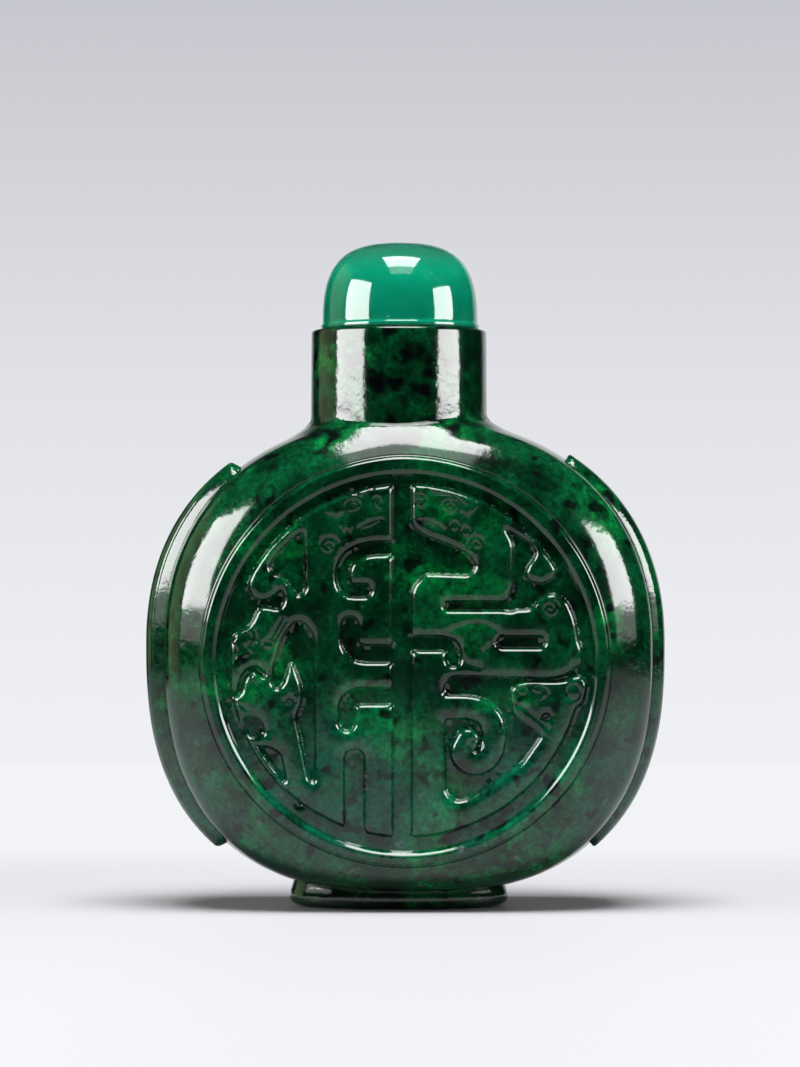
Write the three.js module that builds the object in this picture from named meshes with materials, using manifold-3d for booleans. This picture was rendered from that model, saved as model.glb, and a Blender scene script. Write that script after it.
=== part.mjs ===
// Snuff bottle of polished green stone with a domed stopper, in millimetres, +Z up, front towards -Y.
// The origin is the middle of the bounding box's floor: the foot stands on z = 0.
import * as THREE from "three";
import { mergeVertices } from "three/addons/utils/BufferGeometryUtils.js";
import Module from "manifold-3d";

const wasm = await Module();
wasm.setup();

// ---- driving dimensions ----

// Body outline, seen from the front: two half superellipses that share the widest line.
const BODY_HALF_WIDTH = 22.7;
const BODY_X = 0.3;
const BODY_WIDEST_Z = 24.1;
const BODY_RISE = 20.85; // from the widest line up to the crown
const BODY_DROP = 22.85; // from the widest line down to the base
const RISE_POWER = 2.25;
const DROP_POWER = 2.65;

// Section of the body from the medallion's ring to the narrow side.
const SHOULDER_RADIUS = 5.15;
const FACE_SLOPE = (19.5 / 180) * Math.PI; // where the shoulder leaves the ring
const SIDE_SLOPE = (82 / 180) * Math.PI; // where it passes into the slightly bowed side

// Medallions on the two broad faces.
const FACE_DEPTH = 10.5; // from the middle plane to the ring's top
const MEDALLION_Z = 22.3;
const RING_RADIUS = 18.2;
const RING_BAND = 1.05;
const RING_WALL = 0.55; // the sloping inner wall, seen from the front
const RING_STEP = 0.35; // height of the ring above the body around it
const RING_GROOVE = 0.3;
const RELIEF = 0.55; // depth of the carved field below the ring
const FIELD_RADIUS = RING_RADIUS - RING_BAND - RING_WALL;

// Raised straps along the two narrow sides.
const STRAP_PROUD = 1.1; // at its middle
const STRAP_TOP_PROUD = 0.65;
const STRAP_BASE_PROUD = 0.6;
const STRAP_HALF_DEPTH = 4.5;
const LEFT_STRAP_TOP = (46.6 / 180) * Math.PI; // above the widest line
const RIGHT_STRAP_TOP = (49.6 / 180) * Math.PI;
const STRAP_BASE = (47.5 / 180) * Math.PI; // below the widest line
const STRAP_EDGE = 1.9; // run of the strap's rounded long edges
const STRAP_SINK = 0.3; // the body's bow below the strap's edges
const STRAP_ROOT = 1.6; // how far the strap's foot lies inside the body
const STRAP_END = 0.07; // share of its half length over which each end rounds off
const STRAP_END_PROUD = 0.1; // what is left of its height at the very end
const STRAP_END_DEPTH = 0.6; // and of its depth

// Neck and foot stand a little off the body's middle, as the stone was cut by hand.
const NECK_X = -0.6;
const NECK_RADIUS = 7.9;
const NECK_WAIST = 0.08;
const NECK_WAIST_RUN = 0.77; // share of the neck's height
const NECK_TOP_Z = 53.0;
const NECK_FOOT_Z = 42.6;
const NECK_FLARE = 1.0; // at its foot, which lies inside the shoulder
const NECK_FLARE_RUN = 0.31; // share of the neck's height
const LIP_ROUNDING = 0.3;
const FOOT_HALF_WIDTH = 10.05;
const FOOT_HALF_DEPTH = 5.8;
const FOOT_HEIGHT = 3.2; // runs up into the body
const FOOT_EDGE = 0.8;
const FOOT_RIM = 2.2;
const FOOT_RECESS = 1.2;
const FOOT_DRAFT = 0.4; // slope of the recess's wall
const FOOT_WAIST = 0.12;
const OVAL_POWER = 2.3;

// Hollow.
const WALL = 3.4;
const HOLLOW_HALF_DEPTH = 7.2;
const HOLLOW_POWER = 2.6;
const MOUTH_RADIUS = 4.0;
const MOUTH_DEPTH = 16;

// Stopper.
const STOPPER_X = -0.5;
const STOPPER_RADIUS = 7.3;
const STOPPER_HEIGHT = 7.75;
const STOPPER_POWER = 3;
const STOPPER_CHAMFER = 0.3;
const REST_GAP = 0.3;

const CUT_CLEARANCE = 1; // how far a cutting tool runs on past the surface
const BODY_SEGMENTS = 60;
const SMALL_SEGMENTS = 32;
const CORNER_STEPS = 2;

// Carving, in the medallion's own plane: u to the right and v up from its centre.
const DISC_RADIUS = 15.75; // the raised disc that the carving is cut into, with a moat around it
const DISC_V = 0.3;
const CARVED_TOP = 16.8;
const AXIS_U = -0.3; // upright channel between the two confronted dragons
const LEG_U = -4.6; // arched hollow beside the lowest leg
const LINE_ROUNDING = 0.9; // of a line's corners, as a share of its width

// Cut lines of the front: width, then the corners that the line's middle passes.
const FRONT_LINES = [
  [1.95, [AXIS_U, CARVED_TOP], [AXIS_U, -CARVED_TOP]],
  // left: hooks that turn in from the channel
  [1.45, [-0.8, 10.4], [-3.6, 10.4], [-5.65, 9.3], [-5.65, 6.6], [-3.7, 6.6]],
  [1.8, [-0.8, 0.9], [-5.0, 0.9], [-5.0, 3.5]],
  [1.7, [-0.8, -2.9], [-5.3, -2.9], [-5.3, -5.3]],
  [2.1, [LEG_U, -CARVED_TOP], [LEG_U, -8.6]],
  // right: the long slot and two short ones
  [1.05, [3.85, 5.2], [9.4, 5.2]],
  [1.55, [0.4, 1.85], [4.3, 1.85], [4.3, 0.4]],
  [1.3, [8.7, 1.95], [12.0, 1.95]],
];

// Hollows of the front: rounding of the corners, then the corners of the outline.
const FRONT_HOLLOWS = [
  // outside the left tendril and down the back of the left head
  [
    0.7, [-12.6, 13.4], [-11.7, 12.0], [-13.5, 9.5], [-14.2, 7.7], [-13.9, 6.3], [-12.9, 5.7],
    [-11.7, 6.3], [-10.7, 5.9], [-11.2, 4.7], [-13.1, 5.1], [-13.8, 3.4], [-15.5, 2.4],
    [-15.8, -1.9], [-17.5, -2.4], [-17.5, 8],
  ],
  // inside the left tendril
  [0.5, [-9.1, 12.1], [-8.85, 6.5], [-9.7, 5.9], [-10.9, 7.6], [-12.1, 8.1], [-12.4, 8.8], [-11.7, 10.0]],
  // the tall hollow around the leaf
  [
    0.6, [-10.0, 4.1], [-8.9, 3.8], [-8.1, 2.6], [-8.1, -10.8], [-8.8, -10.6], [-10.0, -4.7],
    [-9.4, -3.2], [-10.3, 0.2], [-10.8, -1.8], [-11.5, -2.5], [-12.2, -1.9], [-11.2, 2.5],
  ],
  // two pockets below the left head
  [0.4, [-13.7, -7.2], [-12.0, -7.4], [-11.0, -8.2], [-10.6, -10.6], [-11.1, -10.8]],
  [0.5, [-15.3, -5.6], [-14.2, -4.4], [-12.8, -5.1], [-12.5, -6.4], [-13.9, -6.9]],
  // under the right head's jaw
  [0.6, [-0.2, 13.2], [1.7, 11.7], [6.1, 9.7], [6.5, 8.8], [5.9, 7.85], [1.7, 8.0], [0.6, 6.6], [-0.2, 6.0]],
  // from the long slot up, and around the right tendril to the moat
  [
    0.6, [8.9, 4.7], [8.9, 5.6], [9.5, 6.8], [9.6, 10.8], [8.8, 12.3], [12.0, 10.0], [11.0, 8.6],
    [10.9, 7.8], [12.0, 7.2], [13.3, 7.8], [13.8, 9.0], [13.3, 10.4], [15.6, 10.0], [17.5, 6.0],
    [17.5, 1.0], [15.6, 1.6], [15.2, 4.0], [14.4, 5.7], [13.1, 6.3], [11.4, 4.8],
  ],
  // around the volute and the lower right head
  [
    0.6, [17.0, -0.3], [15.5, 0.1], [14.5, -0.9], [4.1, -0.95], [3.3, -1.9], [3.5, -11.6],
    [4.4, -12.5], [5.9, -12.2], [10.5, -9.1], [12.4, -6.4], [9.7, -4.5], [9.6, -2.1],
    [10.6, -1.7], [16.9, -1.0],
  ],
];

// What stands up again in those hollows: a volute, and the snout of the lower right head.
const VOLUTE = [
  1.9, [2.2, -3.9], [6.6, -3.9], [8.1, -5.4], [7.8, -8.2], [6.2, -9.2], [4.9, -8.2], [5.6, -6.9],
];
const SNOUT = [1.7, [15.5, -2.1], [15.3, -2.9]];

// The back is plainer: one petal, spun about a round boss.
const BACK_CUT = 0.9;
const BACK_PETAL = [BACK_CUT, [-1.7, 5.6], [-3.3, 10.4], [0, 14.4], [3.3, 10.4], [1.7, 5.6]];
const BACK_PETALS = 8;
const BOSS_RADIUS = 3.6;

// ---- solids from three.js geometry ----

// A closed geometry as a manifold-3d solid.
function solid(geometry) {
  const bare = geometry.clone();
  bare.deleteAttribute("normal");
  bare.deleteAttribute("uv");
  const merged = mergeVertices(bare, 1e-4);
  const mesh = new wasm.Mesh({
    numProp: 3,
    vertProperties: new Float32Array(merged.attributes.position.array),
    triVerts: new Uint32Array(merged.index.array),
  });
  return new wasm.Manifold(mesh);
}

function namedMesh(name, body, material) {
  const { vertProperties, triVerts } = body.getMesh();
  const geometry = new THREE.BufferGeometry();
  geometry.setAttribute("position", new THREE.BufferAttribute(vertProperties, 3));
  geometry.setIndex(new THREE.BufferAttribute(triVerts, 1));
  geometry.computeVertexNormals();
  const mesh = new THREE.Mesh(geometry, material);
  mesh.name = name;
  return mesh;
}

const { lerp } = THREE.MathUtils;

const steps = (count, f) => Array.from({ length: count + 1 }, (_, i) => f(i / count));

// A quarter turn from (1, 0) to (0, 1) on a superellipse of the given power.
function quarter(t, power) {
  const a = (t * Math.PI) / 2;
  return [Math.cos(a) ** (2 / power), Math.sin(a) ** (2 / power)];
}

// ---- carving tools ----

// The way through the corners with each inner corner rounded off.
function roundedWay(corners, rounding, closed) {
  const way = new THREE.Path();
  const n = corners.length;
  const at = (i) => new THREE.Vector2(...corners[(i + n) % n]);
  const towards = (a, b) => a.clone().lerp(b, Math.min(0.5, rounding / a.distanceTo(b)));
  const start = closed ? towards(at(0), at(1)) : at(0);
  way.moveTo(start.x, start.y);
  for (let i = 1; i <= (closed ? n : n - 2); i++) {
    const before = towards(at(i), at(i - 1));
    const after = towards(at(i), at(i + 1));
    way.lineTo(before.x, before.y);
    way.quadraticCurveTo(at(i).x, at(i).y, after.x, after.y);
  }
  if (!closed) way.lineTo(at(n - 1).x, at(n - 1).y);
  const points = way.getPoints(CORNER_STEPS);
  return points.filter((p, i) => i === 0 || p.distanceTo(points[i - 1]) > 0.01);
}

// A flat tool of the given outline that cuts from the carved field out through the face.
function cutter(outline) {
  const tool = new THREE.ExtrudeGeometry(new THREE.Shape(outline), {
    depth: RELIEF + CUT_CLEARANCE,
    bevelEnabled: false,
  });
  const right = new THREE.Vector3(1, 0, 0);
  const up = new THREE.Vector3(0, 0, 1);
  tool.applyMatrix4(new THREE.Matrix4().makeBasis(right, up, right.clone().cross(up)));
  tool.translate(0, -(FACE_DEPTH - RELIEF), MEDALLION_Z);
  return solid(tool);
}

// The outline of a line of the given width, with round ends.
function lineOutline(width, ...corners) {
  const way = roundedWay(corners, width * LINE_ROUNDING, false);
  const half = width / 2;
  const along = (i) => way[Math.min(i + 1, way.length - 1)].clone().sub(way[Math.max(i - 1, 0)]);
  const side = (i, sign) => {
    const d = along(i).normalize();
    return new THREE.Vector2(way[i].x - sign * half * d.y, way[i].y + sign * half * d.x);
  };
  const end = (i, turn) => {
    const d = along(i).angle() + turn;
    return [0.25, 0.5, 0.75].map((t) => {
      const a = d - Math.PI * (t - 0.5);
      return new THREE.Vector2(way[i].x + half * Math.cos(a), way[i].y + half * Math.sin(a));
    });
  };
  const last = way.length - 1;
  const left = way.map((_, i) => side(i, 1));
  const right = way.map((_, i) => side(last - i, -1));
  return [...left, ...end(last, 0), ...right, ...end(0, Math.PI)];
}

const hollowOutline = ([rounding, ...corners]) => {
  const outline = roundedWay(corners, rounding, true);
  return THREE.ShapeUtils.isClockWise(outline) ? outline.reverse() : outline;
};

const circleOutline = (radius, v, count) =>
  Array.from({ length: count }, (_, i) => {
    const a = (i / count) * 2 * Math.PI;
    return new THREE.Vector2(radius * Math.cos(a), v + radius * Math.sin(a));
  });

const ringCutter = (radius, width) =>
  cutter(circleOutline(radius + width / 2, 0, SMALL_SEGMENTS)).subtract(
    cutter(circleOutline(radius - width / 2, 0, SMALL_SEGMENTS)),
  );

// The same line turned about the medallion's centre, `count` times.
function spun([width, ...corners], count) {
  const centre = new THREE.Vector2();
  return Array.from({ length: count }, (_, i) => {
    const angle = (2 * Math.PI * i) / count;
    const turn = ([u, v]) => new THREE.Vector2(u, v).rotateAround(centre, angle).toArray();
    return cutter(lineOutline(width, ...corners.map(turn)));
  });
}

const joined = (pieces) => pieces.reduce((whole, piece) => whole.add(piece));

// What is cut away from one face: the moat around the disc, then the lines and the hollows in it.
function carving(tools) {
  const field = cutter(circleOutline(FIELD_RADIUS, 0, BODY_SEGMENTS));
  const moat = field.subtract(cutter(circleOutline(DISC_RADIUS, DISC_V, BODY_SEGMENTS)));
  return moat.add(joined(tools).intersect(field));
}

// The wall inside the ring slopes from the field's edge out to the ring's band.
function ringSlope() {
  const past = 1.2; // the cone runs on past the ring's top
  const cone = new THREE.CylinderGeometry(
    FIELD_RADIUS + RING_WALL * past,
    FIELD_RADIUS,
    RELIEF * past,
    BODY_SEGMENTS,
  );
  cone.rotateX(Math.PI);
  cone.rotateY(Math.PI / 2);
  cone.translate(0, -(FACE_DEPTH - RELIEF + (RELIEF * past) / 2), MEDALLION_Z);
  return solid(cone).subtract(cutter(circleOutline(FIELD_RADIUS, 0, BODY_SEGMENTS)));
}

// ---- body ----

const powerAbove = (z) => (z > 0 ? RISE_POWER : DROP_POWER);

// 1 on the body's outline grown by `grow`, less inside it.
function outlineLevel(x, z, grow) {
  const dz = z - BODY_WIDEST_Z;
  const n = powerAbove(dz);
  const height = (dz > 0 ? BODY_RISE : BODY_DROP) + grow;
  return (Math.abs(x) / (BODY_HALF_WIDTH + grow)) ** n + (Math.abs(dz) / height) ** n;
}

// Distance from an axis to the outline, in the direction `angle`. The axis is at `axisX` from the
// outline's own middle.
function outlineReach(angle, axisX, axisZ, grow) {
  let near = 0;
  let far = 2 * BODY_HALF_WIDTH;
  for (let i = 0; i < 40; i++) {
    const middle = (near + far) / 2;
    const x = axisX + middle * Math.cos(angle);
    const z = axisZ + middle * Math.sin(angle);
    if (outlineLevel(x, z, grow) < 1) near = middle;
    else far = middle;
  }
  return near;
}

// A pebble form turned about a depth axis. Profile points are [s, y]: s runs from 0 at the axis to 1
// at the round inner radius, and on to 2 at the outline.
function pebble(profile, innerRadius, axisX, axisZ, grow, segments) {
  const turned = new THREE.LatheGeometry(
    profile.map(([s, y]) => new THREE.Vector2(s, y)),
    segments,
  );
  const place = turned.attributes.position;
  for (let i = 0; i < place.count; i++) {
    const s = Math.hypot(place.getX(i), place.getZ(i));
    const angle = Math.round((Math.atan2(place.getZ(i), place.getX(i)) / Math.PI) * 1e6) / 1e6;
    const reach = outlineReach(angle * Math.PI, axisX - BODY_X, axisZ, grow);
    const radius = s <= 1 ? s * innerRadius : innerRadius + (s - 1) * (reach - innerRadius);
    place.setXYZ(
      i,
      axisX + radius * Math.cos(angle * Math.PI),
      place.getY(i),
      axisZ + radius * Math.sin(angle * Math.PI),
    );
  }
  return solid(turned);
}

// From the ring's foot, s = 1, to the outline, s = 2: a round shoulder, then a slightly bowed side.
function sideSection() {
  const shoulder = steps(6, (t) => {
    const slope = FACE_SLOPE + t * (SIDE_SLOPE - FACE_SLOPE);
    return [
      SHOULDER_RADIUS * (Math.sin(slope) - Math.sin(FACE_SLOPE)),
      FACE_DEPTH - RING_STEP - SHOULDER_RADIUS * (Math.cos(FACE_SLOPE) - Math.cos(slope)),
    ];
  });
  const [run, depth] = shoulder.at(-1);
  const sideRadius = depth / Math.cos(SIDE_SLOPE);
  const full = run + sideRadius * (1 - Math.sin(SIDE_SLOPE));
  const side = steps(2, (t) => {
    const y = depth * (1 - t);
    return [full - sideRadius + Math.sqrt(sideRadius ** 2 - y ** 2), y];
  });
  return [...shoulder, ...side.slice(1)].map(([r, y]) => [1 + r / full, y]);
}

function bodyForm() {
  const edge = RING_RADIUS + RING_GROOVE;
  const half = [[0, FACE_DEPTH], [RING_RADIUS / edge, FACE_DEPTH], ...sideSection()];
  const other = half.slice(0, -1).reverse();
  return pebble([...half.map(([s, y]) => [s, -y]), ...other], edge, 0, MEDALLION_Z, 0, BODY_SEGMENTS);
}

function hollowForm() {
  const nearAxis = 1e-3;
  const half = steps(7, (t) => quarter(1 - t, HOLLOW_POWER)).map(([out, up]) => [
    out > nearAxis ? 1 + out : 0,
    up * HOLLOW_HALF_DEPTH,
  ]);
  const other = half.slice(0, -1).reverse();
  const profile = [...half.map(([s, y]) => [s, -y]), ...other];
  return pebble(profile, nearAxis, BODY_X, BODY_WIDEST_Z, -WALL, SMALL_SEGMENTS);
}

// ---- turned and oval pieces ----

function turnedForm(profile, x) {
  const geometry = new THREE.LatheGeometry(
    profile.map(([r, z]) => new THREE.Vector2(r, z)),
    SMALL_SEGMENTS,
  );
  geometry.rotateX(Math.PI / 2);
  geometry.translate(x, 0, 0);
  return solid(geometry);
}

function neckForm() {
  const sides = steps(8, (t) => {
    const flare = NECK_FLARE * Math.max(0, 1 - t / NECK_FLARE_RUN) ** 3;
    const waist = NECK_WAIST * Math.sin(Math.PI * Math.min(1, t / NECK_WAIST_RUN));
    return [NECK_RADIUS + flare - waist, NECK_FOOT_Z + t * (NECK_TOP_Z - LIP_ROUNDING - NECK_FOOT_Z)];
  });
  const lip = steps(3, (t) => quarter(t, 2)).map(([out, up]) => [
    NECK_RADIUS - LIP_ROUNDING * (1 - out),
    NECK_TOP_Z - LIP_ROUNDING * (1 - up),
  ]);
  return turnedForm([[0, NECK_FOOT_Z], ...sides, ...lip.slice(1), [0, NECK_TOP_Z]], NECK_X);
}

const mouthForm = () =>
  turnedForm(
    [
      [0, NECK_TOP_Z - MOUTH_DEPTH],
      [MOUTH_RADIUS, NECK_TOP_Z - MOUTH_DEPTH],
      [MOUTH_RADIUS, NECK_TOP_Z + CUT_CLEARANCE],
      [0, NECK_TOP_Z + CUT_CLEARANCE],
    ],
    NECK_X,
  );

// A short column of oval section; profile points are [inset from the oval, z].
function ovalForm(profile, halfWidth, halfDepth) {
  const column = new THREE.CylinderGeometry(1, 1, 1, SMALL_SEGMENTS, profile.length - 1);
  column.rotateX(Math.PI / 2);
  const place = column.attributes.position;
  for (let i = 0; i < place.count; i++) {
    const level = Math.round((place.getZ(i) + 0.5) * (profile.length - 1));
    const [inset, z] = profile[level];
    const length = Math.hypot(place.getX(i), place.getY(i));
    const [c, s] = length > 0 ? [place.getX(i) / length, place.getY(i) / length] : [0, 0];
    const power = (v) => Math.sign(v) * Math.abs(v) ** (2 / OVAL_POWER);
    place.setXYZ(
      i,
      NECK_X + length * (halfWidth - inset) * power(c),
      length * (halfDepth - inset) * power(s),
      z,
    );
  }
  return solid(column);
}

function footForm() {
  const edge = steps(4, (t) => quarter(1 - t, 2)).map(([out, down]) => [
    FOOT_EDGE * (1 - out),
    FOOT_EDGE * (1 - down),
  ]);
  const column = [...edge, [FOOT_WAIST, FOOT_HEIGHT / 2], [0, FOOT_HEIGHT]];
  const rim = ovalForm(column, FOOT_HALF_WIDTH, FOOT_HALF_DEPTH);
  const recess = ovalForm(
    [[0, -CUT_CLEARANCE], [FOOT_DRAFT, FOOT_RECESS]],
    FOOT_HALF_WIDTH - FOOT_RIM,
    FOOT_HALF_DEPTH - FOOT_RIM,
  );
  return rim.subtract(recess);
}

// ---- straps on the narrow sides ----

// The strap follows the outline, set about the box's middle, between its two ends. Each section runs
// from a root inside the body out along the outline's normal, with rounded edges, and shrinks to a
// rounded end.
function strapForm(side) {
  const rows = 20;
  const edge = steps(3, (t) => quarter(1 - t, 2));
  const outlinePoint = (angle) => {
    const reach = outlineReach(angle, 0, BODY_WIDEST_Z, 0);
    return new THREE.Vector2(reach * Math.cos(angle), BODY_WIDEST_Z + reach * Math.sin(angle));
  };
  const section = (t) => {
    const s = -Math.cos(Math.PI * t); // rows crowd together towards the ends
    const top = side > 0 ? RIGHT_STRAP_TOP : LEFT_STRAP_TOP;
    const [limit, endProud] = s > 0 ? [top, STRAP_TOP_PROUD] : [STRAP_BASE, STRAP_BASE_PROUD];
    const angle = s * limit;
    const foot = outlinePoint(angle);
    const along = outlinePoint(angle + 0.01).sub(outlinePoint(angle - 0.01)).normalize();
    const out = new THREE.Vector2(along.y, -along.x);
    const pastEnd = Math.max(0, (Math.abs(s) - 1 + STRAP_END) / STRAP_END);
    const round = Math.sqrt(Math.max(0, 1 - pastEnd ** 2));
    const proud = lerp(STRAP_PROUD, endProud, s * s) * lerp(STRAP_END_PROUD, 1, round);
    const half = STRAP_HALF_DEPTH * lerp(STRAP_END_DEPTH, 1, round);
    const profile = [
      [-STRAP_ROOT, half],
      ...edge.map(([o, u]) => [proud * o - STRAP_SINK * (1 - o), half - STRAP_EDGE * (1 - u)]),
    ];
    const loop = [...profile.map(([o, y]) => [o, -y]), ...profile.reverse()];
    return loop.map(([o, y]) => [side * (foot.x + o * out.x), y, foot.y + o * out.y]);
  };
  const sections = steps(rows, section);
  const n = sections[0].length;
  const faces = [];
  for (let row = 0; row < rows; row++)
    for (let i = 0; i < n; i++) {
      const [a, b] = [row * n + i, row * n + ((i + 1) % n)];
      faces.push([a, b, b + n], [a, b + n, a + n]);
    }
  const end = rows * n;
  for (let i = 1; i + 1 < n; i++) {
    faces.push([0, i + 1, i], [end, end + i, end + i + 1]);
  }
  const turned = side > 0 ? faces : faces.map(([a, b, c]) => [b, a, c]);
  const geometry = new THREE.BufferGeometry();
  geometry.setAttribute("position", new THREE.Float32BufferAttribute(sections.flat(2), 3));
  geometry.setIndex(turned.flat());
  return solid(geometry);
}

// ---- stopper ----

function stopperForm() {
  const base = NECK_TOP_Z + REST_GAP;
  const dome = steps(9, (t) => quarter(t, STOPPER_POWER)).map(([out, up]) => [
    STOPPER_RADIUS * out,
    base + STOPPER_CHAMFER + (STOPPER_HEIGHT - STOPPER_CHAMFER) * up,
  ]);
  return turnedForm([[0, base], [STOPPER_RADIUS - STOPPER_CHAMFER, base], ...dome], STOPPER_X);
}

// ---- assembly ----

const stone = new THREE.MeshStandardMaterial({ color: 0x0f4a2c, roughness: 0.18, metalness: 0 });
const brightStone = new THREE.MeshStandardMaterial({ color: 0x149b72, roughness: 0.08, metalness: 0 });

const about = (form) => form.rotate([0, 0, 180]);
const frontLines = FRONT_LINES.map((line) => cutter(lineOutline(...line)));
const frontHollows = FRONT_HOLLOWS.map((hollow) => cutter(hollowOutline(hollow)));
const standing = joined([VOLUTE, SNOUT].map((line) => cutter(lineOutline(...line))));
const front = carving([...frontLines, ...frontHollows]).subtract(standing);
const back = carving([...spun(BACK_PETAL, BACK_PETALS), ringCutter(BOSS_RADIUS, BACK_CUT)]);

const carvedBottle = bodyForm()
  .subtract(front.add(ringSlope()))
  .subtract(about(back.add(ringSlope())))
  .add(neckForm())
  .add(footForm())
  .add(strapForm(1))
  .add(strapForm(-1))
  .subtract(hollowForm())
  .subtract(mouthForm());

// Cuts that share a wall can leave a flake of no thickness, so only the stone itself is kept.
const [bottle] = carvedBottle.decompose().sort((a, b) => b.volume() - a.volume());

const snuffBottle = new THREE.Group();
snuffBottle.add(namedMesh("bottle", bottle, stone));
snuffBottle.add(namedMesh("stopper", stopperForm(), brightStone));

export default snuffBottle;
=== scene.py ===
import math

import bpy
import numpy as np
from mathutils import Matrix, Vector, noise
from mathutils.geometry import delaunay_2d_cdt


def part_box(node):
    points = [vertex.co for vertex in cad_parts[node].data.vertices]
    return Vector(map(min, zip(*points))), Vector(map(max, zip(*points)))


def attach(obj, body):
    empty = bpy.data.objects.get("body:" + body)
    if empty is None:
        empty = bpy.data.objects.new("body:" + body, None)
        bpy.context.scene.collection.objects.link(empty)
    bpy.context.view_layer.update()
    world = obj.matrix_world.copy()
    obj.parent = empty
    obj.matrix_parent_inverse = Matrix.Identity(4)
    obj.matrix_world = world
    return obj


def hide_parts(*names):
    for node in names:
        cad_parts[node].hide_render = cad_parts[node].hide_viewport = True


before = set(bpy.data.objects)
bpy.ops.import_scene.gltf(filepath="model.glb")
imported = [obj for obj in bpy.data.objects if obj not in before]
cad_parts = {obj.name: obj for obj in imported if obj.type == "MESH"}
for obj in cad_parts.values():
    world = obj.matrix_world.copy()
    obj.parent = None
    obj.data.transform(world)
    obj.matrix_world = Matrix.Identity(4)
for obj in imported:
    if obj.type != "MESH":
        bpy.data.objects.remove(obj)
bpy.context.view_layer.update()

MM = 0.001

# ---- sizes, in millimetres ----

bottle_low, bottle_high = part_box("bottle")
stopper_low, stopper_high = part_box("stopper")
HALF_WIDTH = bottle_high.x / MM
FACE_DEPTH = bottle_high.y / MM  # from the middle plane to the ring's top
NECK_TOP = bottle_high.z / MM
STOPPER_X = (stopper_low.x + stopper_high.x) / 2 / MM
STOPPER_RADIUS = (stopper_high.x - stopper_low.x) / 2 / MM
STOPPER_BOTTOM = stopper_low.z / MM
STOPPER_TOP = stopper_high.z / MM

# body outline, seen from the front: two half superellipses that share the widest line
STRAP_PROUD = 1.1  # how far the straps stand out at the widest line
BODY_HALF_WIDTH = HALF_WIDTH - STRAP_PROUD
BODY_X = 0.3
BODY_WIDEST = 24.1  # height of the widest line
BODY_RISE = 20.85
BODY_DROP = 22.85
RISE_POWER = 2.25
DROP_POWER = 2.65

# section from the ring's foot round to the narrow side: a round shoulder between two slopes
SHOULDER_RADIUS = 5.3
FACE_SLOPE = math.radians(24)
SIDE_SLOPE = math.radians(82)

# medallion: a ring, and inside it a sunk field on which the carved disc stands
MEDALLION_Z = 22.45
RING_STEP = 0.35  # from the body's flat face up to the ring's top
RING_INNER_EDGE = 17.47  # where the ring's inner wall reaches its top
RING_OUTER_EDGE = 18.08  # where the ring's outer slope starts
RING_SLOPE_END = 18.54  # and where it ends
RING_FOOT = 18.62  # where the ring ends and the body's curve starts
RING_WALL_RUN = 0.65
RING_FALL = 0.025  # slope of the ring's top, outwards
RING_GROOVE = 0.05  # depth of the line around the ring's foot
RING_GROOVE_RADIUS = 18.5
RING_GROOVE_WIDTH = 0.08
RING_LIFT = 0.25  # the ring's outer edge sits this much higher than its inner one
LIFT_GONE = 0.6  # that lift is gone at this share of the way from the ring's foot to the outline
RELIEF = 0.55  # from the ring's top down to the sunk field
FIELD_RADIUS = 16.6  # inside it the face is meshed along the carving
DISC_RADIUS = 15.75
DISC_V = 0.3  # the disc sits this much above the ring's middle
WALL_RUN = 0.24  # half the width of a carved wall, seen from the front
WALL_POWER = 1.7  # walls are round above and steep below
PILLOW = 0.025  # what stands sinks this much towards its edges
PILLOW_RUN = 1.1
GROOVE_DEPTH = 0.075  # depth of the fine cut lines

# straps
STRAP_TOP_PROUD = 0.65
STRAP_BASE_PROUD = 0.6
STRAP_HALF_DEPTH = 4.5
LEFT, RIGHT = -1, 1
STRAP_TOP_ANGLE = {LEFT: math.radians(46.6), RIGHT: math.radians(49.6)}  # above the widest line
STRAP_BASE_ANGLE = math.radians(47.5)  # below it
STRAP_EDGE = 2.1  # run of the rounded long edges
STRAP_EDGE_SLOPE = math.radians(24)
STRAP_END = 0.5  # run of the square ends
STRAP_END_POWER = 2.4
STRAP_CORNER = 1.6
STRAP_LINE_DEPTH = 3.92  # a faint line along each side of the strap, from the middle plane
STRAP_LINE_WIDTH = 0.06
STRAP_LINE_CUT = 0.03  # as a share of the strap's rise
SEAM_CUT = 0.07  # a groove in the body around the strap
SEAM_WIDTH = 0.16

# neck, mouth, foot and hollow
NECK_X = -0.6
NECK_RADIUS = 8.08
NECK_TAPER = 0.006  # outwards, for each millimetre down
NECK_ROOT = 41.0
COLLAR_RISE = 0.55  # the shoulder lifts a little where it meets the neck
COLLAR_RUN = 1.3
JOINT_RADIUS = 0.75  # reach of the rounding where neck and body meet
SHOULDER_COSINE = 0.85  # of the shoulder's slope beside the neck
LIP_ROUNDING = 0.32
MOUTH_RADIUS = 4.0
MOUTH_FLARE = 0.5
MOUTH_DEPTH = 16
FOOT_HALF_WIDTH = 10.05
FOOT_HALF_DEPTH = 5.8
FOOT_ROOT = 3.6  # the foot's form runs up into the body to this height
FOOT_WAIST = 0.2
FOOT_EDGE = 0.75
FOOT_RIM = 2.2
FOOT_RECESS = 1.2
RECESS_ROUNDING = 0.6
OVAL_POWER = 2.3
WALL = 3.4
HOLLOW_HALF_DEPTH = 7.2
HOLLOW_POWER = 2.6

# stopper: a superellipse dome on a thin bead
STOPPER_POWER = 3.0
STOPPER_ROUNDING = 0.15
STOPPER_BEAD = 0.46
STOPPER_STEP = 0.13  # the dome stands back from the bead
DOME_START = 0.4  # above the bead
STOPPER_LOWERED = 0.24  # its visible base comes this much nearer to the neck than its solid


# ---- small helpers ----

CELL_KEY = 100003  # more than any grid has rows, so that each cell has its own number


def smooth(t):
    """0 below 0, 1 above 1, and a smooth step between."""
    t = np.clip(t, 0, 1)
    return t * t * (3 - 2 * t)


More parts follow.
